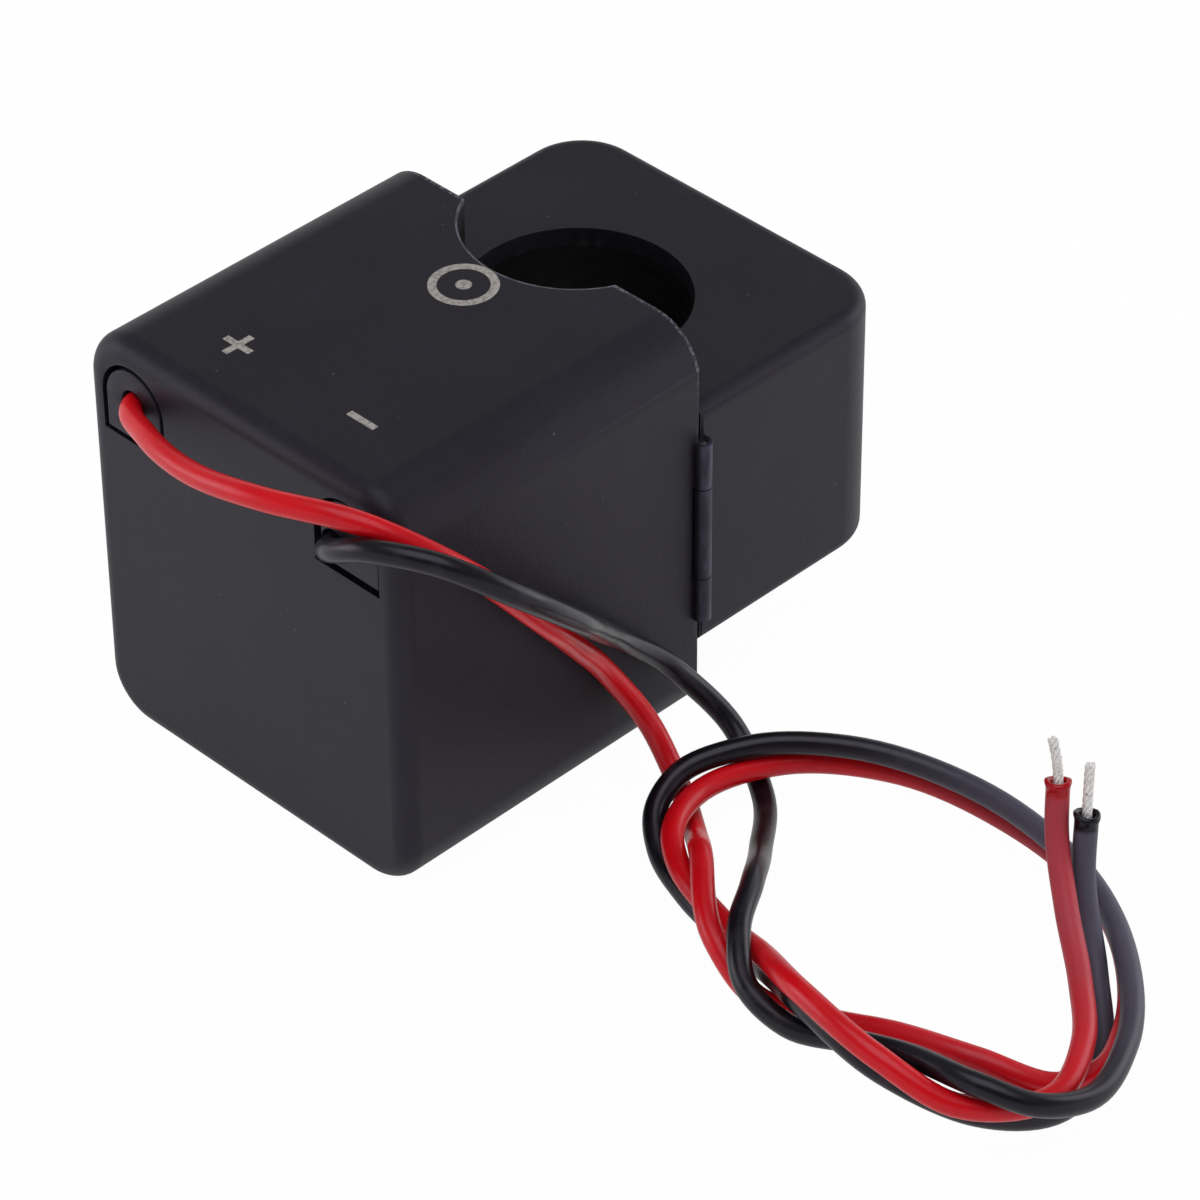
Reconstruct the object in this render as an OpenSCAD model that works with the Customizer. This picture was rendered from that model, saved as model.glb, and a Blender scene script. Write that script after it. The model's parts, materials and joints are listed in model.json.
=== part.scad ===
// Split-core current transformer: a wound main body and a hinged cap that close round a cable,
// with two flying leads.
// The origin is the centre of the window. X runs from the wire end towards the cap,
// Y runs across the hinge (the hinge is on the -Y side), and Z runs along the window.

/* [Window and walls] */
// Diameter of the window that the cable passes through
bore_d = 16; // [12:0.5:20]
// Thickness of the liner round the window
liner_wall = 1; // [0.8:0.1:1.6]
// Thickness of the housing walls
wall = 1.5; // [1.2:0.1:2]
// Thickness of the inner covers
cover_t = 1.2; // [0.8:0.1:1.8]
// Distance from the window's centre back to the parting plane
part_back = 3.5; // [2:0.1:5]
// Gap between the two housings when they are shut
part_gap = 0.15; // [0.1:0.01:0.3]

/* [Main body] */
// Height of the main body
body_h = 32.3; // [31:0.1:40]
// Radius along the long edges of the main body
body_edge_r = 3.9; // [3:0.1:4.5]
// Radius round the rim of the wire end
body_rim_r = 1.5; // [0.8:0.1:2]
// Room behind the coil for the lead joints
end_space = 5.4; // [4.5:0.1:9]

/* [Cap] */
// Height of the cap
cap_h = 20; // [17:0.5:26]
// Radius of the cap's upright corners
cap_corner_r = 4.6; // [3.5:0.1:5.5]
// Radius round the cap's upper and lower rims
cap_rim_r = 1.1; // [0.6:0.1:1.4]

/* [Core and coil] */
// Width of a core limb and of the yokes
core_w = 3.8; // [3:0.1:5]
// Height of the core
core_h = 12; // [8:0.5:13]
// Space between a core limb and the housing wall
core_side_gap = 0.5; // [0.3:0.1:1]
// Radius of the cap core's outer corners
core_corner_r = 3; // [2.5:0.1:3.5]
// Air gap between the pole faces
pole_gap = 0.05; // [0.03:0.01:0.08]
// Depth of the winding on each side of the bobbin
coil_build = 3.6; // [2:0.1:4]
// Thickness of the bobbin's tube and flanges
bobbin_wall = 0.8; // [0.6:0.1:1]
// Thickness of the tape round the winding
tape_t = 0.15; // [0.1:0.05:0.3]
// Room behind the cap core for its spring
spring_space = 1; // [0.8:0.1:1.5]
// Thickness of the core spring
spring_t = 0.3; // [0.2:0.05:0.4]
// Length of the core spring
spring_len = 12; // [8:0.5:14]
// Width of the core spring
spring_w = 7; // [4:0.5:10]

/* [Hinge] */
// Overall length of the hinge
hinge_len = 14.8; // [10:0.2:16]
// Radius of the hinge knuckles
knuckle_r = 0.65; // [0.6:0.05:0.8]
// Distance of the hinge axis outside the side face
hinge_out = 0.2; // [0.1:0.05:0.4]
// Diameter of the hinge pin
pin_d = 0.6; // [0.4:0.05:0.7]

/* [Leads] */
// Diameter of the leads over their insulation
lead_d = 1.6; // [1.2:0.1:1.8]
// Diameter of the bare twisted ends
strand_d = 0.7; // [0.5:0.05:0.9]
// Distance of the middle of each wire port from its side face
port_inset = 4.8; // [4.7:0.1:5.4]
// Width of a wire port
port_w = 6; // [5.6:0.1:6.2]
// Height of a wire port
port_h = 6.1; // [5.8:0.1:7]
// Gap left all round between a plug and its port
plug_gap = 0.37; // [0.1:0.01:0.4]
// Thickness of a plug's flange behind the wall
plug_flange = 1; // [0.6:0.1:1.5]

/* [Hidden] */
$fn = 64;
CORD_SIDES = 8;

slip = 0.1;          // clearance of pieces that slide together
fit = 0.05;          // clearance of pieces that are bonded in place
liner_gap = 0.1;     // from the liner to the core
limb_gap = 0.2;      // from the liner to a limb, across
coil_front_gap = 1;  // from the liner to the bobbin
flange_lip = 0.6;    // how far a bobbin flange stands above the winding
knuckle_gap = 0.1;   // round and between the knuckles
pin_slack = 0.03;    // round the hinge pin
through = 1;         // how far a cutter runs past a face

bore_r = bore_d / 2;
liner_r = bore_r + liner_wall;
limb_in = liner_r + limb_gap;
limb_out = limb_in + core_w;
inner_w = 2 * (limb_out + core_side_gap);
body_w = inner_w + 2 * wall;

main_face = -part_back;
cap_face = main_face + part_gap;
pole_proud = (part_gap - pole_gap) / 2;

flange_front = -liner_r - coil_front_gap;
yoke_front = flange_front - flange_lip - coil_build - bobbin_wall - slip;
yoke_back = yoke_front - core_w;
flange_back = yoke_back - slip - bobbin_wall - coil_build - flange_lip;
end_in = flange_back - end_space;
wire_end = end_in - wall;
tube_half_h = core_h / 2 + slip + bobbin_wall;
coil_half_h = tube_half_h + coil_build;
flange_half_h = coil_half_h + flange_lip;
flange_out = limb_in - limb_gap;
flange_in = flange_out - bobbin_wall;
body_in_half_h = body_h / 2 - wall;
rest_z = -body_h / 2;

cap_yoke_in = liner_r + liner_gap;
cap_yoke_out = cap_yoke_in + core_w;
cap_in = cap_yoke_out + spring_space;
cap_end = cap_in + wall;
cap_in_half_h = cap_h / 2 - wall;

hinge_x = (main_face + cap_face) / 2;
hinge_y = -body_w / 2 - hinge_out;
knuckle_len = hinge_len / 4;

peg_r = 0.4;
peg_len = 1.2;
peg_clear = 0.2;
peg_z = 7;

port_y = body_w / 2 - port_inset;
port_top = body_in_half_h - fit;
port_bottom = port_top - port_h;
plug_w = port_w - 2 * plug_gap;
plug_h = port_h - 2 * plug_gap;
lead_slack = 0.3;    // round a lead in its plug
lead_hole_r = lead_d / 2 + lead_slack;
flange_grip = 0.25;  // how far a plug's flange reaches past its port

lead_rise = 3.15;    // from the bottom of a port up to its lead
black_shift = [1.2, -1];              // the black lead is nearer the middle, and lower
red_exit = [wire_end, port_y, port_bottom + lead_rise];
black_exit = [wire_end, -port_y + black_shift[0], port_bottom + lead_rise + black_shift[1]];
black_plug_shift = [-0.3, 0.25];      // the black lead's plug sits off centre in its port
lead_stub = 4.3;                      // how far the leads reach into the housing
lead_in = wire_end + lead_stub;

joint_r = lead_d / 2;
joint_len = 1.6;
terminal_r = 0.35;
terminal_slack = 0.02;
terminal_len = 3.8;
block_depth = 2.5;
block_edge = 0.65;   // plastic left round a terminal pin

// Routes of the leads over the ground: X, Y and height above what the part rests on
red_route = [
    [-33.2, 6.2, 28.7], [-34.8, 0.1, 29.8], [-34.8, -6.6, 31.3], [-32.4, -13.3, 31.6],
    [-27.8, -18.2, 27.8], [-22.6, -19.2, 21.6], [-17.4, -17.3, 15.3], [-13, -15.9, 9.6],
    [-10.5, -17.5, 4.4], [-11.3, -21.1, 1.3], [-13.9, -24.9, 1.4], [-17.6, -28.9, 4.5],
    [-22.4, -34.8, 3.8], [-23.1, -39.2, 2.1], [-21.8, -43.8, 2.3], [-20.7, -49.3, 3.8],
    [-19.3, -54.8, 4.3], [-16.4, -58.9, 2.9], [-13, -59.7, 2.4], [-8.9, -58.1, 2.1],
    [-3.9, -54, 1.9], [0.4, -47.4, 1.5], [2, -38.9, 1.2], [0, -30.6, 1.9],
    [-5.4, -24.8, 2.6], [-12.3, -23.2, 3], [-16.5, -25.2, 3.1], [-17.8, -26.9, 2.9],
    [-19.7, -32.9, 2.5], [-22, -38.7, 4.7], [-25.3, -45.1, 7.7], [-26.1, -52.5, 7.4],
    [-24.3, -57.3, 5.4], [-18.5, -60.5, 4.4], [-13.5, -58.5, 4.4], [-9.8, -55, 4.8],
    [-6.5, -50.8, 6.5], [-4.2, -47.8, 9.6], [-2.9, -46.6, 12.7],
];
black_route = [
    [-33.3, -11.6, 29], [-33.3, -14.7, 30.7], [-31.5, -18.6, 30.9], [-27.5, -22.2, 28],
    [-22.1, -22, 22.9], [-16.9, -19, 17.4], [-11.9, -16.3, 12.1], [-7.3, -16.4, 7.1],
    [-5.3, -19.9, 3.1], [-7.1, -24.5, 0.9], [-12.3, -29.3, 2], [-17.8, -33.7, 5],
    [-22.5, -37, 5.6], [-24.8, -39.8, 4.7], [-25.2, -43.9, 4], [-23.9, -48.6, 4.8],
    [-23.6, -53.3, 6.3], [-23.2, -58.1, 6.9], [-21.2, -61.2, 5.9], [-17.5, -62.3, 4.6],
    [-11.4, -60.3, 3.9], [-5, -54.8, 3.7], [-0.1, -46.5, 3.3], [0.9, -36.5, 3.5],
    [-2.5, -28, 4.2], [-7.7, -23.1, 4.3], [-12.1, -21.4, 3.6], [-14.9, -22.1, 2.7],
    [-17, -24.5, 1.7], [-18.3, -28.3, 1], [-19.4, -33.8, 1], [-22.2, -40.2, 3.6],
    [-24.9, -45.4, 6.1], [-25.6, -52.3, 5.8], [-22.4, -57.4, 3.4], [-16.5, -59.5, 1.2],
    [-11.1, -58, 0.9], [-6.5, -53.6, 2.6], [-3.9, -50, 6.9], [-2.6, -48.9, 11.1],
];
red_end_route = [[-2.9, -46.6, 12.7], [-2.6, -46.1, 14], [-2.5, -45.6, 15.3]];
black_end_route = [[-2.6, -48.9, 11.1], [-2.1, -48.5, 12.7], [-1.7, -48.2, 14.2]];

HOUSING = "#37353b";
PLUG = "#3a383d";
INNER = "#2b2a2e";
FERRITE = "#45454a";

// ---- Plain shapes ----

// A block from the lowest corner to the highest
module block(lo, hi) {
    translate(lo) cube(hi - lo);
}

// A block that is centred on Y and Z between two places on X
module bar(x0, x1, w, h) {
    block([x0, -w / 2, -h / 2], [x1, w / 2, h / 2]);
}

// A rectangle with round corners, centred
module round_rect(w, h, r) {
    square([w - 2 * r, h], center = true);
    square([w, h - 2 * r], center = true);
    for (sx = [-1, 1], sy = [-1, 1])
        translate([sx * (w / 2 - r), sy * (h / 2 - r)]) circle(r);
}

// Half the section of a slab that stands on the ground, its upper edge rounded,
// and its lower edge too where both is set
module half_section(w, len, r, both) {
    low = both ? r : 0;
    square([w - r, len]);
    translate([0, low]) square([w, len - r - low]);
    translate([w - r, len - r]) circle(r);
    if (both) translate([w - r, r]) circle(r);
}

module soft_slab(w, h, len, r, both) {
    rotate([90, 0, 0]) linear_extrude(h, center = true)
        for (s = [0, 1]) mirror([s, 0]) half_section(w / 2, len, r, both);
}

// A prism on the ground with round corners, whose upper rim is rounded,
// and its lower rim too where both is set
module soft_prism(w, h, len, corner, r, both = false) {
    soft_slab(w, h - 2 * corner, len, r, both);
    rotate([0, 0, 90]) soft_slab(h, w - 2 * corner, len, r, both);
    for (sx = [-1, 1], sy = [-1, 1])
        translate([sx * (w / 2 - corner), sy * (h / 2 - corner), 0])
            rotate_extrude() half_section(corner, len, r, both);
}

// The window as a cutter
module window() {
    cylinder(h = 2 * body_h, r = bore_r, center = true);
}

// A tombstone outline in the plane of the wire end, from its lower edge up to its arch
module arch(w, h) {
    translate([-w / 2, 0]) square([w, h - w / 2]);
    translate([0, h - w / 2]) circle(w / 2);
}

// An arch that stands across X, between two places on X
module arch_block(x0, x1, y, z, w, h) {
    translate([x0, y, z]) rotate([90, 0, 90]) linear_extrude(x1 - x0) arch(w, h);
}

// Half of the liner, as a wall round the window, on one side of a parting face
module liner(x0, x1, h) {
    intersection() {
        cylinder(h = h, r = liner_r, center = true);
        block([x0, -liner_r - through, -h], [x1, liner_r + through, h]);
    }
}

// Holes for the pole faces
module pole_holes(x) {
    for (s = [-1, 1])
        translate([x, s * (limb_in + limb_out) / 2, 0])
            cube([2 * cover_t + 2 * through, core_w + 2 * slip, core_h + 2 * slip], center = true);
}

// ---- Hinge and closing pegs ----

// Knuckles between two heights on the hinge axis
module knuckle(z0, z1, r) {
    translate([hinge_x, hinge_y, z0]) cylinder(h = z1 - z0, r = r);
}

module end_knuckles(r, gap) {
    for (s = [0, 1]) mirror([0, 0, s]) knuckle(knuckle_len + gap, hinge_len / 2, r);
}

module hinge_hole() {
    knuckle(-hinge_len, hinge_len, pin_d / 2 + pin_slack);
}

module closing_pegs(x, r, len) {
    for (s = [-1, 1])
        translate([x, body_w / 2 - wall / 2, s * peg_z]) rotate([0, -90, 0]) cylinder(h = len, r = r);
}

// ---- Main body ----

module main_shell() {
    difference() {
        translate([main_face, 0, 0]) rotate([0, -90, 0])
            soft_prism(body_h, body_w, main_face - wire_end, body_edge_r, body_rim_r);
        translate([main_face + through, 0, 0]) rotate([0, -90, 0])
            linear_extrude(main_face + through - end_in)
                round_rect(2 * body_in_half_h, inner_w, body_edge_r - wall);
        window();
        for (s = [-1, 1])
            arch_block(wire_end - through, end_in + fit, s * port_y, port_bottom, port_w, port_h);
    }
}

module main_housing() color(HOUSING) {
    difference() {
        union() {
            difference() {
                main_shell();
                knuckle(-knuckle_len - knuckle_gap, knuckle_len + knuckle_gap, knuckle_r + knuckle_gap);
            }
            end_knuckles(knuckle_r, knuckle_gap);
        }
        hinge_hole();
        closing_pegs(main_face + fit, peg_r + peg_clear, peg_len + peg_clear + fit);
    }
}

// A cover plate with its half of the liner
module inner_cover(x0, x1, liner_x0, liner_x1, plate_h, plate_r) {
    difference() {
        union() {
            translate([x0, 0, 0]) rotate([90, 0, 90])
                linear_extrude(x1 - x0) round_rect(inner_w - 2 * fit, plate_h, plate_r);
            liner(liner_x0, liner_x1, plate_h);
        }
        window();
        pole_holes((x0 + x1) / 2);
    }
}

module main_inner_cover() color(INNER) {
    inner_cover(main_face - cover_t, main_face, -liner_r - through, main_face,
        2 * (body_in_half_h - fit), body_edge_r - wall - fit);
}

module main_core_yoke() color(FERRITE) {
    bar(yoke_back, yoke_front, 2 * limb_out, core_h);
}

module main_core_limb(side) {
    translate([0, side * (limb_in + limb_out) / 2, 0])
        bar(yoke_front, main_face + pole_proud, core_w, core_h);
}

module main_core_limb_near() color(FERRITE) {
    main_core_limb(-1);
}

module main_core_limb_far() color(FERRITE) {
    main_core_limb(1);
}

// A block on a flange's upper corner that holds a terminal pin
module terminal_block() {
    edge = terminal_r + block_edge;
    block([flange_back, flange_in, min(coil_half_h, black_exit[2]) - edge],
        [flange_back + block_depth, port_y + edge, red_exit[2] + edge]);
}

// A terminal pin, or its hole with some slack
module terminal(at, slack) {
    translate([flange_back + block_depth - terminal_len - slack, at[1], at[2]]) rotate([0, 90, 0])
        cylinder(h = terminal_len + slack, r = terminal_r + slack);
}

module bobbin() color("#e8e4da") {
    difference() {
        union() {
            bar(yoke_back - slip - bobbin_wall, yoke_front + slip + bobbin_wall, 2 * flange_out, 2 * tube_half_h);
            for (s = [0, 1]) mirror([0, s, 0]) {
                block([flange_back, flange_in, -flange_half_h], [flange_front, flange_out, flange_half_h]);
                terminal_block();
            }
        }
        bar(yoke_back - slip, yoke_front + slip, 2 * body_w, core_h + 2 * slip);
        terminal(red_exit, terminal_slack);
        terminal(black_exit, terminal_slack);
    }
}

// A square sleeve round the bobbin's tube, between two depths over that tube
module coil_sleeve(inner, outer) {
    difference() {
        bar(yoke_back - slip - bobbin_wall - outer, yoke_front + slip + bobbin_wall + outer,
            2 * flange_in, 2 * (tube_half_h + outer));
        bar(yoke_back - slip - bobbin_wall - inner, yoke_front + slip + bobbin_wall + inner,
            2 * body_w, 2 * (tube_half_h + inner));
    }
}

module secondary_winding() color("#b4602c") {
    coil_sleeve(0, coil_build - tape_t);
}

module winding_tape() color("#e3c13a") {
    coil_sleeve(coil_build - tape_t, coil_build);
}

module red_terminal_pin() color("#c9c9cc") {
    terminal(red_exit, 0);
}

module black_terminal_pin() color("#c9c9cc") {
    terminal(black_exit, 0);
}

// Solder that joins a lead's end to its terminal pin
module solder_joint(at) {
    difference() {
        translate([lead_in, at[1], at[2]]) rotate([0, 90, 0]) cylinder(h = joint_len, r = joint_r);
        terminal(at, terminal_slack);
    }
}

module red_solder_joint() color("#b9bcc0") {
    solder_joint(red_exit);
}

module black_solder_joint() color("#b9bcc0") {
    solder_joint(black_exit);
}

// A plug that fills a wire port, with a flange behind the wall and a hole for its lead
module lead_plug(side, shift, at) {
    difference() {
        union() {
            arch_block(wire_end, end_in, side * port_y + shift[0], port_bottom + plug_gap + shift[1],
                plug_w, plug_h);
            arch_block(end_in, end_in + plug_flange, side * port_y, port_bottom - flange_grip,
                port_w + 2 * flange_grip, port_h + flange_grip);
        }
        translate([wire_end - through, at[1], at[2]]) rotate([0, 90, 0])
            cylinder(h = wall + plug_flange + 2 * through, r = lead_hole_r);
    }
}

module red_lead_plug() color(PLUG) {
    lead_plug(1, [0, 0], red_exit);
}

module black_lead_plug() color(PLUG) {
    lead_plug(-1, black_plug_shift, black_exit);
}

module hinge_pin() color("#c9c9cc") {
    knuckle(-hinge_len / 2 + knuckle_gap, hinge_len / 2 - knuckle_gap, pin_d / 2);
}

// ---- Cap ----

module cap_shell() {
    intersection() {
        translate([0, 0, -cap_h / 2]) soft_prism(2 * cap_end, body_w, cap_h, cap_corner_r, cap_rim_r, true);
        block([cap_face, -body_w, -cap_h], [2 * cap_end, body_w, cap_h]);
    }
}

module cap_cavity() {
    intersection() {
        translate([0, 0, -cap_in_half_h]) linear_extrude(2 * cap_in_half_h)
            round_rect(2 * cap_in, inner_w, cap_corner_r - wall);
        block([cap_face - through, -body_w, -cap_h], [2 * cap_end, body_w, cap_h]);
    }
}

// Rails above and below the limbs that hold the core at mid-height
module core_rails() {
    for (sy = [0, 1], sz = [0, 1]) mirror([0, sy, 0]) mirror([0, 0, sz])
        block([cap_face + cover_t, limb_in + core_w / 3, core_h / 2 + fit],
            [cap_yoke_in, limb_out - core_w / 3, cap_in_half_h + wall / 2]);
}

module cap_housing() color(HOUSING) {
    difference() {
        union() {
            difference() {
                cap_shell();
                cap_cavity();
                window();
                end_knuckles(knuckle_r + knuckle_gap, 0);
            }
            core_rails();
            closing_pegs(cap_face, peg_r, part_gap + peg_len);
            knuckle(-knuckle_len, knuckle_len, knuckle_r);
        }
        hinge_hole();
    }
}

module cap_inner_cover() color(INNER) {
    inner_cover(cap_face, cap_face + cover_t - fit, cap_face, liner_r + through,
        2 * (cap_in_half_h - fit), fit);
}

module cap_core() color(FERRITE) {
    linear_extrude(core_h, center = true) difference() {
        intersection() {
            round_rect(2 * cap_yoke_out, 2 * limb_out, core_corner_r);
            translate([cap_face - pole_proud, -body_w]) square([2 * cap_end, 2 * body_w]);
        }
        translate([-body_w, -limb_in]) square([body_w + cap_yoke_in, 2 * limb_in]);
    }
}

// A bowed leaf that presses the cap core towards the main body
module cap_core_spring() color("#c9c9cc") {
    rise = spring_space - spring_t - slip;
    bend_r = (pow(spring_len / 2, 2) + pow(rise, 2)) / (2 * rise);
    intersection() {
        translate([cap_yoke_out + slip / 2 + bend_r, 0, 0]) difference() {
            cylinder(h = spring_w, r = bend_r, center = true, $fn = 4 * $fn);
            cylinder(h = 2 * spring_w, r = bend_r - spring_t, center = true, $fn = 4 * $fn);
        }
        bar(cap_yoke_out, cap_in - fit, spring_len, spring_w);
    }
}

// ---- Leads ----

function unit(v) = v / norm(v);

function heading(p, i) =
    i == 0 ? unit(p[1] - p[0]) :
    i == len(p) - 1 ? unit(p[i] - p[i - 1]) :
    unit(unit(p[i + 1] - p[i]) + unit(p[i] - p[i - 1]));

// A direction across the lead at each point, which turns as little as it can on the way
function across(p, i, last) =
    i == len(p) ? [] :
    let (t = heading(p, i), side = unit(last - (last * t) * t))
    concat([side], across(p, i + 1, side));

// One ring of points round each point of the route
function rings(p, d) =
    let (sides = across(p, 0, [0, 0, 1]))
    [for (i = [0 : len(p) - 1])
        let (u = sides[i], v = cross(heading(p, i), u))
        for (k = [0 : CORD_SIDES - 1])
            p[i] + d / 2 * (cos(360 * k / CORD_SIDES) * u + sin(360 * k / CORD_SIDES) * v)];

// A tube along a route
module tube(p, d) {
    n = CORD_SIDES;
    last = (len(p) - 1) * n;
    polyhedron(rings(p, d), concat(
        [[for (k = [0 : n - 1]) k], [for (k = [n - 1 : -1 : 0]) last + k]],
        [for (i = [0 : len(p) - 2], k = [0 : n - 1])
            let (a = i * n + k, b = i * n + (k + 1) % n)
            each [[a, a + n, b], [b, a + n, b + n]]]));
}

// A lead from its joint inside the housing, out through its plug and along its route
module lead(exit, route) {
    tube(concat([exit + [lead_stub, 0, 0], exit], [for (p = route) p + [0, 0, rest_z]]), lead_d);
}

module lead_end(route) {
    tube([for (p = route) p + [0, 0, rest_z]], strand_d);
}

module red_lead() color("#cf1620") {
    lead(red_exit, red_route);
}

module black_lead() color("#2a292c") {
    lead(black_exit, black_route);
}

module red_lead_end() color("#c4c6c9") {
    lead_end(red_end_route);
}

module black_lead_end() color("#c4c6c9") {
    lead_end(black_end_route);
}

main_housing();
main_inner_cover();
main_core_yoke();
main_core_limb_near();
main_core_limb_far();
bobbin();
secondary_winding();
winding_tape();
red_terminal_pin();
black_terminal_pin();
red_solder_joint();
black_solder_joint();
red_lead_plug();
black_lead_plug();
red_lead();
black_lead();
red_lead_end();
black_lead_end();
hinge_pin();
cap_housing();
cap_inner_cover();
cap_core();
cap_core_spring();
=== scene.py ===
# %% [markdown]
# # A split-core current transformer and its two leads
# The solids were made in CAD, so the body, the hinged cap and everything inside them come in as
# they are. Blender adds what CAD leaves out: plastic that looks moulded, softened edges, leads
# that bend smoothly, bare wire that is really twisted, and light to see it all by.
# Every length below is in metres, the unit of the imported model.

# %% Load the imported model
import json
import math

import bmesh
import bpy
from mathutils import Matrix, Vector


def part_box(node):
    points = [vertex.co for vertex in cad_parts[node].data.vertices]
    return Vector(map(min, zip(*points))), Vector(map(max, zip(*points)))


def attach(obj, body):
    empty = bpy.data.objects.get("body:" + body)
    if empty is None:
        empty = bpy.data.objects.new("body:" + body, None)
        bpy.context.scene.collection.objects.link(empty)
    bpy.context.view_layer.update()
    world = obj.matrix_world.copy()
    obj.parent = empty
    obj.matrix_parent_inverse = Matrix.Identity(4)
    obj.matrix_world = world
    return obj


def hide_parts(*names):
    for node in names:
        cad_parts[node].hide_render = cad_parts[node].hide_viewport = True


MM = 0.001
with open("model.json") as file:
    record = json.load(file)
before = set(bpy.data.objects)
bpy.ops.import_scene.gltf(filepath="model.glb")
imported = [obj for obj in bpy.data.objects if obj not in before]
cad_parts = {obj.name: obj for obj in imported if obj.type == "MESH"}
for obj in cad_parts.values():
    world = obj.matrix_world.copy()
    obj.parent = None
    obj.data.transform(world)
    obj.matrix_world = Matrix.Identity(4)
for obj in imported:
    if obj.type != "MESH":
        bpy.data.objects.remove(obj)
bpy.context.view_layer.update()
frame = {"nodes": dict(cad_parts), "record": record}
nodes = frame["nodes"]

# %% [markdown]
# ## Places that the rest is built on
# The two housings and the terminal pins say where everything is: the parting plane, the wire end,
# the tops, and the two spots where a lead leaves its plug. Reading them from the model's boxes
# means that a changed part still gets its finish in the right places.

# %% Read the places
main_low, main_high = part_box("main_housing")
cap_low, cap_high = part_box("cap_housing")
pin_low, pin_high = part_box("hinge_pin")
plate_low, plate_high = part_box("main_inner_cover")
window = next(m for m in frame["record"]["mounts"] if m["name"] == "window")

BORE_R = window["dims"]["r_mm"] * MM
REST_Z = main_low.z
TOP_Z = main_high.z
WIRE_END = main_low.x
PARTING = plate_high.x
SIDE = main_high.y
HINGE = (pin_low + pin_high) / 2


def lead_exit(pin):
    """Where a lead leaves the wire end: straight behind its terminal pin."""
    low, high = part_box(pin)
    return Vector((WIRE_END, (low.y + high.y) / 2, (low.z + high.z) / 2))


RED_EXIT = lead_exit("red_terminal_pin")
BLACK_EXIT = lead_exit("black_terminal_pin")
print("window radius", BORE_R, "wire end", WIRE_END, "parting plane", PARTING)

# %% [markdown]
# ## The camera
# Seen through a long lens from a few body lengths away, a box shows little perspective. The camera
# looks down over the corner between the wire end and the hinge side. It is placed by two angles
# and a distance, then moved sideways so that the body and its loop of leads share the frame.

# %% Make the camera
VIEW_AZIMUTH = math.radians(-44.84)
VIEW_ELEVATION = math.radians(38.34)
VIEW_ROLL = math.radians(-0.41)
VIEW_DISTANCE = 391.6 * MM
VIEW_SHIFT_RIGHT = 1.5 * MM
VIEW_SHIFT_UP = -12.8 * MM
LENS_MM = 170.8
SENSOR_MM = 36


def camera_axes(azimuth, elevation, roll):
    """Right, up and backward directions of a camera that looks at the origin."""
    back = Vector((
        math.sin(azimuth) * math.cos(elevation),
        -math.cos(azimuth) * math.cos(elevation),
        math.sin(elevation),
    ))
    level = Vector((0, 0, 1)).cross(back).normalized()
    upright = back.cross(level)
    right = math.cos(roll) * level + math.sin(roll) * upright
    up = math.cos(roll) * upright - math.sin(roll) * level
    return right, up, back


right, up, back = camera_axes(VIEW_AZIMUTH, VIEW_ELEVATION, VIEW_ROLL)
camera_data = bpy.data.cameras.new("camera")
camera_data.lens = LENS_MM
camera_data.sensor_width = SENSOR_MM
camera_data.clip_start = 10 * MM
camera = bpy.data.objects.new("camera", camera_data)
bpy.context.scene.collection.objects.link(camera)
camera.matrix_world = Matrix((right, up, back)).transposed().to_4x4()
camera.location = VIEW_DISTANCE * back + VIEW_SHIFT_RIGHT * right + VIEW_SHIFT_UP * up
bpy.context.scene.camera = camera
print("camera at", [round(c, 4) for c in camera.location])

# %% [markdown]
# ## Routes of the leads
# Each lead is about a quarter of a metre of limp stranded wire. It leaves its plug, bends round
# the corner of the body and ends in a loose double loop with the other one. The route points are
# the same as the CAD's, as X, Y and height above the ground in millimetres. They are the output of
# a fitting program, rounded to a tenth of a millimetre, and weren't chosen by hand. Between them
# runs a smooth curve whose slope at each point weighs the nearer neighbour more, so that unevenly
# spaced points don't make it bulge.

# %% Route points
RED_ROUTE = [
    (-33.2, 6.2, 28.7), (-34.8, 0.1, 29.8), (-34.8, -6.6, 31.3), (-32.4, -13.3, 31.6),
    (-27.8, -18.2, 27.8), (-22.6, -19.2, 21.6), (-17.4, -17.3, 15.3), (-13, -15.9, 9.6),
    (-10.5, -17.5, 4.4), (-11.3, -21.1, 1.3), (-13.9, -24.9, 1.4), (-17.6, -28.9, 4.5),
    (-22.4, -34.8, 3.8), (-23.1, -39.2, 2.1), (-21.8, -43.8, 2.3), (-20.7, -49.3, 3.8),
    (-19.3, -54.8, 4.3), (-16.4, -58.9, 2.9), (-13, -59.7, 2.4), (-8.9, -58.1, 2.1),
    (-3.9, -54, 1.9), (0.4, -47.4, 1.5), (2, -38.9, 1.2), (0, -30.6, 1.9),
    (-5.4, -24.8, 2.6), (-12.3, -23.2, 3), (-16.5, -25.2, 3.1), (-17.8, -26.9, 2.9),
    (-19.7, -32.9, 2.5), (-22, -38.7, 4.7), (-25.3, -45.1, 7.7), (-26.1, -52.5, 7.4),
    (-24.3, -57.3, 5.4), (-18.5, -60.5, 4.4), (-13.5, -58.5, 4.4), (-9.8, -55, 4.8),
    (-6.5, -50.8, 6.5), (-4.2, -47.8, 9.6), (-2.9, -46.6, 12.7),
]
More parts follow.
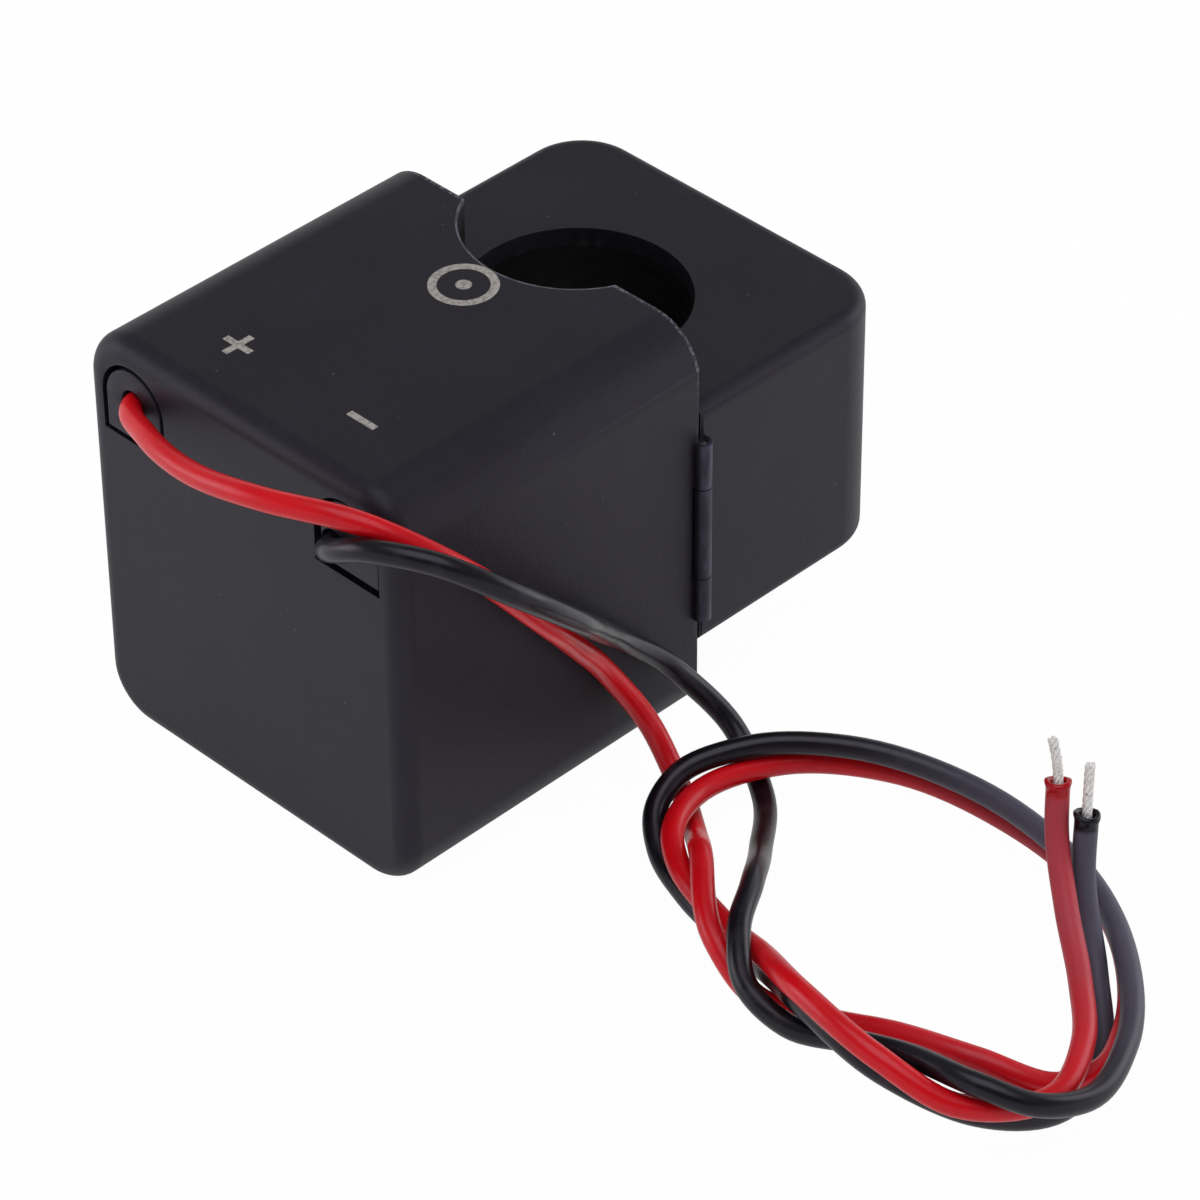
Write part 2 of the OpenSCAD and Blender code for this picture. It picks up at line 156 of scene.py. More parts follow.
BLACK_ROUTE = [
    (-33.3, -11.6, 29), (-33.3, -14.7, 30.7), (-31.5, -18.6, 30.9), (-27.5, -22.2, 28),
    (-22.1, -22, 22.9), (-16.9, -19, 17.4), (-11.9, -16.3, 12.1), (-7.3, -16.4, 7.1),
    (-5.3, -19.9, 3.1), (-7.1, -24.5, 0.9), (-12.3, -29.3, 2), (-17.8, -33.7, 5),
    (-22.5, -37, 5.6), (-24.8, -39.8, 4.7), (-25.2, -43.9, 4), (-23.9, -48.6, 4.8),
    (-23.6, -53.3, 6.3), (-23.2, -58.1, 6.9), (-21.2, -61.2, 5.9), (-17.5, -62.3, 4.6),
    (-11.4, -60.3, 3.9), (-5, -54.8, 3.7), (-0.1, -46.5, 3.3), (0.9, -36.5, 3.5),
    (-2.5, -28, 4.2), (-7.7, -23.1, 4.3), (-12.1, -21.4, 3.6), (-14.9, -22.1, 2.7),
    (-17, -24.5, 1.7), (-18.3, -28.3, 1), (-19.4, -33.8, 1), (-22.2, -40.2, 3.6),
    (-24.9, -45.4, 6.1), (-25.6, -52.3, 5.8), (-22.4, -57.4, 3.4), (-16.5, -59.5, 1.2),
    (-11.1, -58, 0.9), (-6.5, -53.6, 2.6), (-3.9, -50, 6.9), (-2.6, -48.9, 11.1),
]
RED_END_ROUTE = [(-2.9, -46.6, 12.7), (-2.6, -46.1, 14), (-2.5, -45.6, 15.3)]
BLACK_END_ROUTE = [(-2.6, -48.9, 11.1), (-2.1, -48.5, 12.7), (-1.7, -48.2, 14.2)]

LEAD_R = 0.8 * MM
LEAD_STUB = 4.3 * MM
STEPS = 9


def over_ground(route):
    return [Vector((x * MM, y * MM, z * MM + REST_Z)) for x, y, z in route]


def smooth_curve(points, steps):
    """Points of a smooth curve through the given ones, with so many steps between neighbours."""
    padded = [2 * points[0] - points[1], *points, 2 * points[-1] - points[-2]]
    curve = []
    for before, start, end, after in zip(padded, padded[1:], padded[2:], padded[3:]):
        back_len, len_here, next_len = (start - before).length, (end - start).length, (after - end).length
        leave = ((start - before) / back_len * len_here + (end - start) / len_here * back_len)
        leave *= len_here / (back_len + len_here)
        arrive = ((end - start) / len_here * next_len + (after - end) / next_len * len_here)
        arrive *= len_here / (len_here + next_len)
        for i in range(steps):
            t = i / steps
            curve.append(
                (2 * t**3 - 3 * t**2 + 1) * start + (t**3 - 2 * t**2 + t) * leave
                + (3 * t**2 - 2 * t**3) * end + (t**3 - t**2) * arrive)
    return [*curve, points[-1]]


def lead_curve(exit_point, route):
    inside = exit_point + Vector((LEAD_STUB, 0, 0))
    return smooth_curve([inside, exit_point, *over_ground(route)], STEPS)


def curve_length(points):
    return sum((b - a).length for a, b in zip(points, points[1:]))


red_line = lead_curve(RED_EXIT, RED_ROUTE)
black_line = lead_curve(BLACK_EXIT, BLACK_ROUTE)
print("lead lengths", round(curve_length(red_line), 4), round(curve_length(black_line), 4))

# %% [markdown]
# ## Leads with a cut end
# A curve with a round bevel would do for the cable, but its end would be a flat disc. Here the
# insulation was stripped with a cutter: the rim rolled over a little, and the wire comes out of a
# small hollow. So each lead is a mesh swept along its line, with a radius that changes over the
# last half millimetre, over the rim and back into the mouth.

# %% Sweep the leads
SIDES = 28
# Distance before the cut end and radius, over the rim and into the mouth, as shares of the radius
CUT_END = [
    (0.95, 1.0), (0.75, 1.01), (0.55, 1.05), (0.4, 1.1), (0.25, 1.13), (0.12, 1.12), (0.03, 1.05),
    (0, 0.94), (0.03, 0.82), (0.12, 0.72), (0.3, 0.64), (1.0, 0.56),
]
# The blade goes through at a slant: how much lower the rim is on its low side, as a share
SLANT = 0.42


def headings(points):
    ends = [points[1] - points[0], points[-1] - points[-2]]
    middle = [b - a for a, b in zip(points, points[2:])]
    return [v.normalized() for v in [ends[0], *middle, ends[1]]]


def carried_sides(points):
    """A pair of directions across the line at each point, which turn as little as they can."""
    across = Vector((0, 0, 1))
    pairs = []
    for heading in headings(points):
        across = (across - across.dot(heading) * heading).normalized()
        pairs.append((across, heading.cross(across)))
    return pairs


def ring(centre, pair, radius, sides):
    turns = [2 * math.pi * k / sides for k in range(sides)]
    return [centre + radius * (math.cos(t) * pair[0] + math.sin(t) * pair[1]) for t in turns]


def skin(mesh, rings):
    """Faces between rings of equal size, with a lid on both ends."""
    rows = [[mesh.verts.new(p) for p in points] for points in rings]
    for low, high in zip(rows, rows[1:]):
        for k in range(len(low)):
            after = (k + 1) % len(low)
            mesh.faces.new((low[k], low[after], high[after], high[k]))
    mesh.faces.new(reversed(rows[0]))
    mesh.faces.new(rows[-1])


def piece_from(name, mesh, body):
    """Turns a bmesh into a smooth object that rides on a body."""
    bmesh.ops.recalc_face_normals(mesh, faces=mesh.faces)
    data = bpy.data.meshes.new(name)
    mesh.to_mesh(data)
    mesh.free()
    data.shade_smooth()
    piece = bpy.data.objects.new(name, data)
    bpy.context.scene.collection.objects.link(piece)
    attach(piece, body)
    return piece


def slanted(points, tip, heading, low_side):
    """Ring points near the cut end, pushed back along the lead on its low side."""
    low = (low_side - low_side.dot(heading) * heading).normalized()
    return [p - heading * max(0, (p - tip).dot(low)) * SLANT for p in points]


def make_lead(name, line, low_side):
    pairs = carried_sides(line)
    tip, heading, pair = line[-1], headings(line)[-1], pairs[-1]
    rim_start = LEAD_R * (CUT_END[0][0] + SLANT)
    cable = [(p, s) for p, s in zip(line, pairs) if (tip - p).length > rim_start * 1.2]
    rim = [ring(tip - heading * before * LEAD_R, pair, share * LEAD_R, SIDES) for before, share in CUT_END]
    mesh = bmesh.new()
    skin(mesh, [ring(p, s, LEAD_R, SIDES) for p, s in cable] + [
        slanted(points, tip, heading, low_side) for points in rim])
    return piece_from(name, mesh, "main")


red_lead = make_lead("red_lead_insulation", red_line, Vector((-0.7, -0.6, 0)))
black_lead = make_lead("black_lead_insulation", black_line, Vector((-0.4, -0.9, 0)))
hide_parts("red_lead")
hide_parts("black_lead")
print("lead faces", len(red_lead.data.polygons), len(black_lead.data.polygons))

# %% [markdown]
# ## Twisted and tinned ends
# The bare end is seven fine strands, twisted by hand and dipped in solder. A striped cylinder would
# lose the notched outline, so the strands are real: one in the middle and six that wind round it.
# Each ends at its own length, because the cutter never leaves them even.

# %% Twist the strands
STRAND_R = 0.13 * MM
LAY_R = 0.225 * MM
TWIST_LENGTH = 3.4 * MM
STRAND_SIDES = 10
END_STEPS = 14
MOUTH_DEPTH = 0.6 * MM
# How far each strand stops before the end of the bundle
STRAND_STOPS = [0, 0.02, 0.16, 0.07, 0.21, 0.04, 0.12]


def trimmed(points, cut):
    """The points without those on the last stretch of the given length."""
    kept = [p for p in points if (points[-1] - p).length > cut]
    return kept + [points[-1] + (kept[-1] - points[-1]).normalized() * cut]


def strand_centres(line, start_turn, radius):
    gone, centres = 0, []
    for i, (point, pair) in enumerate(zip(line, carried_sides(line))):
        gone += (point - line[i - 1]).length if i else 0
        turn = start_turn + 2 * math.pi * gone / TWIST_LENGTH
        centres.append(point + radius * (math.cos(turn) * pair[0] + math.sin(turn) * pair[1]))
    return centres


def make_bare_end(name, lead_line, route):
    start = lead_line[-1] - headings(lead_line)[-1] * MOUTH_DEPTH
    line = smooth_curve([start, *over_ground(route)], END_STEPS)
    mesh = bmesh.new()
    for k, stop in enumerate(STRAND_STOPS):
        lay = LAY_R if k else 0
        centres = trimmed(strand_centres(line, 2 * math.pi * k / 6, lay), (stop + 0.01) * MM)
        tip = centres[-1] + headings(centres)[-1] * 0.5 * STRAND_R
        rounded = [STRAND_R] * (len(centres) - 1) + [0.85 * STRAND_R, 0.3 * STRAND_R]
        pairs = carried_sides([*centres, tip])
        skin(mesh, [ring(p, s, r, STRAND_SIDES) for p, s, r in zip([*centres, tip], pairs, rounded)])
    return piece_from(name, mesh, "main")


red_end = make_bare_end("red_lead_strands", red_line, RED_END_ROUTE)
black_end = make_bare_end("black_lead_strands", black_line, BLACK_END_ROUTE)
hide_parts("red_lead_end")
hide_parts("black_lead_end")
for lead, line, exit_point, end in (
        (red_lead, red_line, RED_EXIT, red_end), (black_lead, black_line, BLACK_EXIT, black_end)):
    curve_length(line)
print("strand faces", len(red_end.data.polygons), len(black_end.data.polygons))

# %% [markdown]
# ## Softer edges on the CAD solids
# Moulded plastic has no perfectly sharp edge, and a tiny radius catches the light that tells the
# eye where a part ends. A bevel modifier adds it and leaves the CAD mesh alone. The mesh comes
# with its faces apart, so a weld goes first, and the bevel stays off the round walls by its angle.
# Then every face is shaded smooth, with normals weighted by area: flat walls stay truly flat, and
# the round edges run into them with hardly a crease.

# %% Soften the edges
EDGE_WIDTHS = {
    "main_housing": 0.1, "cap_housing": 0.1, "red_lead_plug": 0.1, "black_lead_plug": 0.1,
    "main_inner_cover": 0.08, "cap_inner_cover": 0.08, "bobbin": 0.12, "cap_core": 0.12,
    "main_core_yoke": 0.12, "main_core_limb_near": 0.12, "main_core_limb_far": 0.12,
    "secondary_winding": 0.3, "winding_tape": 0.06, "hinge_pin": 0.04, "cap_core_spring": 0.04,
    "red_terminal_pin": 0.05, "black_terminal_pin": 0.05,
    "red_solder_joint": 0.25, "black_solder_joint": 0.25,
}


def smooth_shading():
    """A node group for a modifier that shades every face smooth."""
    group = bpy.data.node_groups.new("shade smooth", "GeometryNodeTree")
    for way in ("INPUT", "OUTPUT"):
        group.interface.new_socket("Geometry", in_out=way, socket_type="NodeSocketGeometry")
    start, end = group.nodes.new("NodeGroupInput"), group.nodes.new("NodeGroupOutput")
    smooth = group.nodes.new("GeometryNodeSetShadeSmooth")
    group.links.new(start.outputs[0], smooth.inputs[0])
    group.links.new(smooth.outputs[0], end.inputs[0])
    return group


SMOOTH = smooth_shading()


def soften(node, width):
    """Rounds a node's edges by a width, with modifiers only."""
    piece = nodes[node]
    weld = piece.modifiers.new("joined faces", "WELD")
    weld.merge_threshold = 0.001 * MM
    bevel = piece.modifiers.new("soft edges", "BEVEL")
    bevel.width = width
    bevel.segments = 2
    bevel.limit_method = "ANGLE"
    bevel.angle_limit = math.radians(40)
    piece.modifiers.new("smooth faces", "NODES").node_group = SMOOTH
    weighted = piece.modifiers.new("flat walls", "WEIGHTED_NORMAL")
    weighted.keep_sharp = False


for node, width in EDGE_WIDTHS.items():
    soften(node, width * MM)
print("softened", len(EDGE_WIDTHS), "nodes")

# %% [markdown]
# ## Writing shaders as sums
# A finish is a sum of small effects, and that reads best as Python. A Signal wraps the output of a
# node, and +, -, * and / on it make Math nodes. Any other node comes from one node method, from its
# type, its settings and what goes into its sockets. A Finish is one material with that method, and
# the world uses the same method further down.

# %% Signals and finishes


class Signal:
    """One node's output, with arithmetic that makes Math nodes."""

    def __init__(self, maker, socket):
        self.maker = maker
        self.socket = socket

    def maths(self, operation, first, second=0.0):
        return self.maker.node(
            "ShaderNodeMath", {"operation": operation}, {0: first, 1: second})

    def __add__(self, other):
        return self.maths("ADD", self, other)

    def __sub__(self, other):
        return self.maths("SUBTRACT", self, other)

    def __rsub__(self, other):
        return self.maths("SUBTRACT", other, self)

    def __mul__(self, other):
        return self.maths("MULTIPLY", self, other)

    def __truediv__(self, other):
        return self.maths("DIVIDE", self, other)

    __radd__ = __add__
    __rmul__ = __mul__

    def __abs__(self):
        return self.maths("ABSOLUTE", self)

    def at_most(self, other):
        return self.maths("MINIMUM", self, other)

    def at_least(self, other):
        return self.maths("MAXIMUM", self, other)

    def fade(self, zero_at, one_at):
        """Goes from 0 to 1 between two of its values, softly, and stays there."""
        return self.maker.node(
            "ShaderNodeMapRange", {"interpolation_type": "SMOOTHSTEP"},
            {"Value": self, "From Min": zero_at, "From Max": one_at}, "Result")

    def band(self, centre, half, soft):
        """1 within half of a centre, and 0 past it by soft."""
        return abs(self - centre).fade(half + soft, half)


class NodeMaker:
    """Makes nodes in one tree."""

    def __init__(self, tree):
        self.tree = tree

    def node(self, kind, settings=None, inputs=None, output=0):
        made = self.tree.nodes.new(kind)
        for name, value in (settings or {}).items():
            setattr(made, name, value)
        for socket, value in (inputs or {}).items():
            if isinstance(value, Signal):
                self.tree.links.new(value.socket, made.inputs[socket])
            else:
                made.inputs[socket].default_value = value
        return Signal(self, made.outputs[output])


class Finish(NodeMaker):
    """One material, whose varying inputs are fed with signals and whose others are constants."""

    def __init__(self, name, **constants):
        self.material = bpy.data.materials.new(name)
        self.material.use_nodes = True
        super().__init__(self.material.node_tree)
        self.shader = self.tree.nodes["Principled BSDF"]
        for socket, value in constants.items():
            self.shader.inputs[socket.replace("_", " ")].default_value = value

    def place(self):
        """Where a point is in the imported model's own frame, in millimetres."""
        rest = self.node("ShaderNodeTexCoord", output="Object")
        return self.node("ShaderNodeVectorMath", {"operation": "SCALE"}, {0: rest, "Scale": 1 / MM})

    def axes(self):
        place = self.place()
        return [self.node("ShaderNodeSeparateXYZ", None, {0: place}, axis) for axis in "XYZ"]

    def stretched(self, x, y, z):
        """The place in millimetres with each axis drawn out or squeezed."""
        return self.node(
            "ShaderNodeVectorMath", {"operation": "MULTIPLY"}, {0: self.place(), 1: (x, y, z)})

    def noise(self, per_mm, detail=3.0, vector=None):
        return self.node(
            "ShaderNodeTexNoise", None,
            {"Vector": vector or self.place(), "Scale": per_mm, "Detail": detail}, "Fac")

    def blend(self, factor, low, high):
        """A colour between two others. Colours go through a Mix node, which keeps their hue."""
        return self.node(
            "ShaderNodeMix", {"data_type": "RGBA"}, {0: factor, 6: low, 7: high}, 2)

    def normal(self, height, depth_mm):
        """A bump from a height of 0 to 1 that stands for a depth in millimetres."""
        return self.node(
            "ShaderNodeBump", None, {"Strength": 1.0, "Distance": depth_mm * MM, "Height": height})

    def feed(self, **signals):
        for socket, signal in signals.items():
            self.tree.links.new(signal.socket, self.shader.inputs[socket.replace("_", " ")])
        return self.material


def colour(red, green, blue):
    """A colour given as it looks on a screen, from 0 to 255, as the linear one that nodes take."""
    shares = [c / 255 for c in (red, green, blue)]
    linear = [c / 12.92 if c <= 0.04045 else ((c + 0.055) / 1.055) ** 2.4 for c in shares]
    return (*linear, 1.0)


def dress(material, *pieces):
    for piece in pieces:
        piece.data.materials.clear()
        piece.data.materials.append(material)


print("half grey is", round(colour(128, 128, 128)[0], 3), "in linear light")

# %% [markdown]
# ## Moulded charcoal plastic
# Both housings come from moulds with a finely spark-eroded skin: almost black with a violet cast,
# matt, with a grain far finer than a millimetre. Three layers make it: a faint change of tone as
# the plastic flowed, the grain as a bump and in the roughness, and a few pale specks of dust.
# The same layers serve the plugs, so they sit in one function.

# %% Plastic layers
CHARCOAL = colour(21, 19, 26)
CHARCOAL_PALE = colour(28, 26, 34)
PLASTIC = {"Specular_IOR_Level": 0.3, "Specular_Tint": (0.87, 0.81, 1.0, 1.0)}
RUBBED = colour(112, 112, 120)
# Tone of the hinge's outer side: partly painted sheen and highlight, partly scuff streaks
HINGE_SHEEN_AND_SCUFFS = colour(92, 97, 118)
DUST = colour(105, 104, 108)
# Radius of the main body's long rounded edges, in millimetres
EDGE_R = 3.9


def plastic_layers(finish, dark, pale):
    """Colour, roughness and bump height of the moulded skin."""
    flow = finish.noise(0.12, 2.0)
    mottle = finish.noise(1.3, 4.0)
    grain = finish.noise(5.5, 2.0)
    tone = finish.blend(flow.fade(0.3, 0.7) * 0.6 + mottle.fade(0.35, 0.7) * 0.4, dark, pale)
    speck = finish.node(
        "ShaderNodeTexVoronoi", None, {"Vector": finish.place(), "Scale": 0.55}, "Distance")
    dust = speck.fade(0.07, 0.03) * finish.noise(0.3, 1.0).fade(0.52, 0.6)
    tone = finish.blend(dust * 0.35, tone, DUST)
    return tone, 0.42 + 0.08 * grain + 0.06 * mottle, grain * 0.75 + mottle * 0.25


def from_core(value, half):
    """How far a coordinate lies past the part of a wall that is straight."""
    return (abs(value) - (half / MM - EDGE_R)).at_least(0.0)


def worn_lines(finish, x, y, z):
    """Where the moulding's edge round the window and at the parting plane is rubbed pale."""
    past_straight = finish.node(
        "ShaderNodeCombineXYZ", None, {0: from_core(y, SIDE), 1: from_core(z, TOP_Z)})
    past = finish.node("ShaderNodeVectorMath", {"operation": "LENGTH"}, {0: past_straight}, "Value")
    across_window = finish.node(
        "ShaderNodeVectorMath", {"operation": "LENGTH"}, {0: finish.stretched(1, 1, 0)}, "Value")
    chips = finish.noise(1.1, 4.0).fade(0.46, 0.6)
    flakes = finish.noise(3.2, 2.0).fade(0.5, 0.62)
    arc = across_window.band(BORE_R / MM, 0.1, 0.06) * z.fade(TOP_Z / MM - 0.5, TOP_Z / MM - 0.2)
    edge = x.band(PARTING / MM, 0.2, 0.08) * z.fade(10.5, 12) * past.fade(EDGE_R - 0.3, EDGE_R - 0.15)
    return (arc * (0.5 + 0.5 * chips) + edge * (0.2 + flakes)).at_most(1.0)


print("plastic tones", [round(c, 4) for c in CHARCOAL[:3]], [round(c, 4) for c in CHARCOAL_PALE[:3]])

# %% [markdown]
# ## The main housing and its printed marks
# The upper face carries pale pad-printed marks. Such marks are paint a few hundredths of a
# millimetre thick, so they need no shape of their own: they are a mask built from distances in
# the plane of the face. A ring with a dot says that current comes out of this face, and a plus
# and a minus stand near the leads. The ink is thin and slightly broken, which a noise does.

# %% Print and finish the main housing
INK = colour(168, 163, 158)
INK_SOFT = 0.05
RING_X, RING_R, RING_LINE = -10.5, 2.1, 0.28
PLUS_AT, MINUS_AT = (-25.5, 5.6), (-25.5, -6.2)
SIGN_HALF, SIGN_LINE = 1.2, 0.24


def bar_mark(x, y, centre, half_x, half_y):
    """A printed bar in the plane of the upper face."""
    return x.band(centre[0], half_x, INK_SOFT) * y.band(centre[1], half_y, INK_SOFT)


def printed_marks(finish, x, y, z):
    around = finish.node(
        "ShaderNodeVectorMath", {"operation": "DISTANCE"},
        {0: finish.stretched(1, 1, 0), 1: (RING_X, 0, 0)}, "Value")
    marks = around.band(RING_R, RING_LINE, INK_SOFT) + around.fade(0.6, 0.5)
    marks += bar_mark(x, y, PLUS_AT, SIGN_LINE, SIGN_HALF)
    marks += bar_mark(x, y, PLUS_AT, SIGN_HALF, SIGN_LINE)
    marks += bar_mark(x, y, MINUS_AT, SIGN_LINE, SIGN_HALF)
    coverage = 0.62 + 0.38 * finish.noise(4.0, 3.0).fade(0.38, 0.55)
    return marks.at_most(1.0) * z.fade(TOP_Z / MM - 0.1, TOP_Z / MM - 0.03) * coverage


def hinge_sheen_and_scuffs(finish, x, y, z):
    """Hinge's outer side: streaks from handling, painted sheen, painted highlight on its cap-side edge."""
    streaks = finish.noise(0.9, 4.0, finish.stretched(1.2, 1.2, 0.35)).fade(0.42, 0.66)
    outside = (0 - y).fade(-HINGE.y / MM + 0.12, -HINGE.y / MM + 0.5)
    # A painted highlight in a narrow band along the hinge's cap-side edge
    painted_edge_highlight = x.band(HINGE.x / MM + 0.5, 0.08, 0.12)
    return outside * (0.25 + 0.45 * streaks + 0.3 * painted_edge_highlight).at_most(1.0) * abs(z).fade(7.6, 7.3)


def housing_finish(name, has_print):
    finish = Finish(name, **PLASTIC)
    x, y, z = finish.axes()
    tone, rough, height = plastic_layers(finish, CHARCOAL, CHARCOAL_PALE)
    sheen_and_scuffs = hinge_sheen_and_scuffs(finish, x, y, z)
    if has_print:
        tone = finish.blend(worn_lines(finish, x, y, z) * 0.7, tone, RUBBED)
        ink = printed_marks(finish, x, y, z)
        tone = finish.blend(ink, tone, INK)
        rough = rough + 0.12 * ink
    # Painted sheen and highlight on the hinge's outer side, mixed with its scuff streaks
    tone = finish.blend(sheen_and_scuffs * 0.62, tone, HINGE_SHEEN_AND_SCUFFS)
    return finish.feed(
        Base_Color=tone, Roughness=rough - 0.14 * sheen_and_scuffs, Normal=finish.normal(height, 0.018))


dress(housing_finish("charcoal housing, printed", True), nodes["main_housing"])
dress(housing_finish("charcoal housing", False), nodes["cap_housing"])
print("housings finished")

# %% [markdown]
# ## Plugs and inner covers
# The plugs come from another mould in the same plastic, a shade paler. The inner covers are
# seen only with the cap open: a plainer black, with the faint wavy lines that flowing plastic
# leaves round the pole holes.

# %% Finish the plugs and covers
PLUG = colour(30, 28, 36)
PLUG_PALE = colour(38, 36, 45)
COVER = colour(15, 15, 17)
COVER_PALE = colour(24, 23, 27)

plug_finish = Finish("charcoal plug", **PLASTIC)
plug_tone, plug_rough, plug_height = plastic_layers(plug_finish, PLUG, PLUG_PALE)
dress(
    plug_finish.feed(
        Base_Color=plug_tone, Roughness=plug_rough, Normal=plug_finish.normal(plug_height, 0.014)),
    nodes["red_lead_plug"], nodes["black_lead_plug"])

cover_finish = Finish("black inner cover", Specular_IOR_Level=0.25)
flow_lines = cover_finish.node(
    "ShaderNodeTexWave", {"wave_type": "RINGS", "rings_direction": "X"},
    {"Vector": cover_finish.place(), "Scale": 0.25, "Distortion": 3.0, "Detail": 2.0}, "Fac")
cover_grain = cover_finish.noise(6.0, 2.0)
dress(
    cover_finish.feed(
        Base_Color=cover_finish.blend(flow_lines * 0.5, COVER, COVER_PALE),
        Roughness=0.4 + 0.08 * flow_lines + 0.08 * cover_grain,
        Normal=cover_finish.normal(cover_grain * 0.8 + flow_lines * 0.2, 0.012)),
    nodes["main_inner_cover"], nodes["cap_inner_cover"])
print("plugs and covers finished")

# %% [markdown]
# ## Core, bobbin and winding
# Ferrite is a grey ceramic with pores, ground flat where the two halves meet: the grinding leaves
# fine scratches in one direction. The bobbin is natural nylon, the coil enamelled copper whose
# turns lie side by side along Y, and the tape round it yellow film with the turns showing through.

# %% Finish the magnetic parts
ferrite = Finish("ground ferrite", Specular_IOR_Level=0.6)
scratches = ferrite.noise(2.0, 3.0, ferrite.stretched(1, 6, 0.2))
pores = ferrite.noise(4.0, 4.0).fade(0.62, 0.7)
dress(
    ferrite.feed(
        Base_Color=ferrite.blend(
            scratches * 0.7, ferrite.blend(pores, colour(78, 78, 82), colour(40, 40, 43)),
            colour(104, 104, 108)),
        Roughness=0.38 + 0.2 * scratches + 0.2 * pores,
        Normal=ferrite.normal(scratches * 0.5 - pores * 0.5, 0.02)),
    nodes["main_core_yoke"], nodes["main_core_limb_near"], nodes["main_core_limb_far"], nodes["cap_core"])

nylon = Finish("natural nylon")
cloud = nylon.noise(0.5, 3.0)
dress(
    nylon.feed(
        Base_Color=nylon.blend(cloud.fade(0.3, 0.7), colour(226, 221, 206), colour(238, 234, 222)),
        Roughness=0.38 + 0.12 * cloud, Normal=nylon.normal(nylon.noise(4.0, 2.0), 0.01)),
    nodes["bobbin"])

TURNS_PER_MM = 4


def turns_of_wire(finish):
    """The round backs of the turns, side by side along Y."""
    return finish.node(
        "ShaderNodeTexWave", {"bands_direction": "Y", "wave_profile": "SIN"},
        {"Vector": finish.place(), "Scale": TURNS_PER_MM / 20 * 2 * math.pi, "Distortion": 0.15}, "Fac")


copper = Finish("enamelled copper wire", Metallic=0.85, Coat_Weight=0.6, Coat_Roughness=0.15)
# The turns' colour is painted light: darker copper as painted shade in the grooves, paler on the round
# backs as a painted highlight
turns = turns_of_wire(copper)
dress(
    copper.feed(
        Base_Color=copper.blend(turns, colour(110, 48, 22), colour(196, 104, 56)),
        Roughness=0.3 + 0.15 * copper.noise(1.0), Normal=copper.normal(turns, 0.08)),
    nodes["secondary_winding"])

film = Finish("yellow tape", Specular_IOR_Level=0.55, Coat_Weight=0.3, Coat_Roughness=0.1)
shown_turns = turns_of_wire(film)
creases = film.noise(0.6, 3.0, film.stretched(0.4, 1.5, 0.4))
dress(
    film.feed(
        Base_Color=film.blend(shown_turns * 0.4, colour(222, 186, 52), colour(190, 140, 34)),
        Roughness=0.2 + 0.2 * creases, Normal=film.normal(shown_turns * 0.4 + creases * 0.6, 0.04)),
    nodes["winding_tape"])
print("magnetic parts finished")

# %% [markdown]
# ## Metals
# Solder on fine wire is bright but lumpy, with dull grey flux in the hollows. The hinge pin and
# the core's leaf spring are drawn and rolled steel, with faint lines along their length.

# %% Finish the metals
tin = Finish("tinned metal", Metallic=0.3)
lumps = tin.noise(3.2, 3.0)
dull = tin.noise(5.0, 2.0).fade(0.56, 0.68)
dress(
    tin.feed(
        Base_Color=tin.blend(dull * 0.6, colour(240, 238, 237), colour(120, 114, 112)),
        Roughness=0.24 + 0.16 * lumps + 0.25 * dull, Normal=tin.normal(lumps, 0.05)),
    red_end, black_end, nodes["red_lead_end"], nodes["black_lead_end"],
    nodes["red_terminal_pin"], nodes["black_terminal_pin"],
    nodes["red_solder_joint"], nodes["black_solder_joint"])

steel = Finish("bright steel", Metallic=1.0)
drawn = steel.noise(2.5, 3.0, steel.stretched(4, 4, 0.15))
dress(
    steel.feed(
        Base_Color=steel.blend(drawn, colour(176, 177, 180), colour(206, 207, 210)),
        Roughness=0.22 + 0.18 * drawn, Normal=steel.normal(drawn, 0.006)),
    nodes["hinge_pin"], nodes["cap_core_spring"])
print("metals finished")

# %% [markdown]
# ## Lead insulation
# The leads are soft PVC: even in colour, smooth with a very fine orange peel, and shiny enough to
# carry a long pale highlight. The last stretch is rougher, and its colour is painted greyer as a
# sheen, and the cut rim itself is darker, because the blade left it glassy.

# %% Finish the leads
RED = colour(214, 12, 24)
RED_DEEP = colour(140, 4, 14)
# Tail tones are painted sheen: paler and greyer than the lead's own colour
RED_TAIL_SHEEN = colour(146, 74, 86)
BLACK = colour(17, 16, 21)
BLACK_DEEP = colour(9, 8, 11)
BLACK_TAIL_SHEEN = colour(104, 101, 120)
PVC = {"Specular_IOR_Level": 0.32, "Specular_Tint": (0.9, 0.84, 1.0, 1.0)}
CUT_LENGTH = 1.3
# Length of the tail with the painted sheen, in millimetres
SHEEN_LENGTH = 24


def insulation(name, tone, deep, sheen_tone, line):
    """The finish of one lead: its end rougher with a painted sheen, and its cut rim glassy."""
    finish = Finish(name, **PVC)
    tip = finish.node(
        "ShaderNodeVectorMath", {"operation": "DISTANCE"}, {0: finish.place(), 1: line[-1] / MM}, "Value")
    cut = tip.fade(CUT_LENGTH + 0.35, CUT_LENGTH)
    # Painted sheen: the last stretch is blended to a paler, greyer tone, and made rougher
    tail_sheen = tip.fade(SHEEN_LENGTH, SHEEN_LENGTH / 3) * (1 - cut)
    drift = finish.noise(0.15, 2.0)
    peel = finish.noise(2.2, 2.0)
    smear = finish.noise(0.5, 3.0).fade(0.5, 0.7)
    shade = finish.blend((drift.fade(0.3, 0.75) * 0.25 + cut * 0.45).at_most(1.0), tone, deep)
    shade = finish.blend((tail_sheen * 0.55 + smear * 0.05).at_most(1.0), shade, sheen_tone)
    return finish.feed(
        Base_Color=shade, Roughness=0.26 + 0.05 * peel + 0.06 * smear + 0.2 * tail_sheen - 0.06 * cut,
        Normal=finish.normal(peel, 0.006))


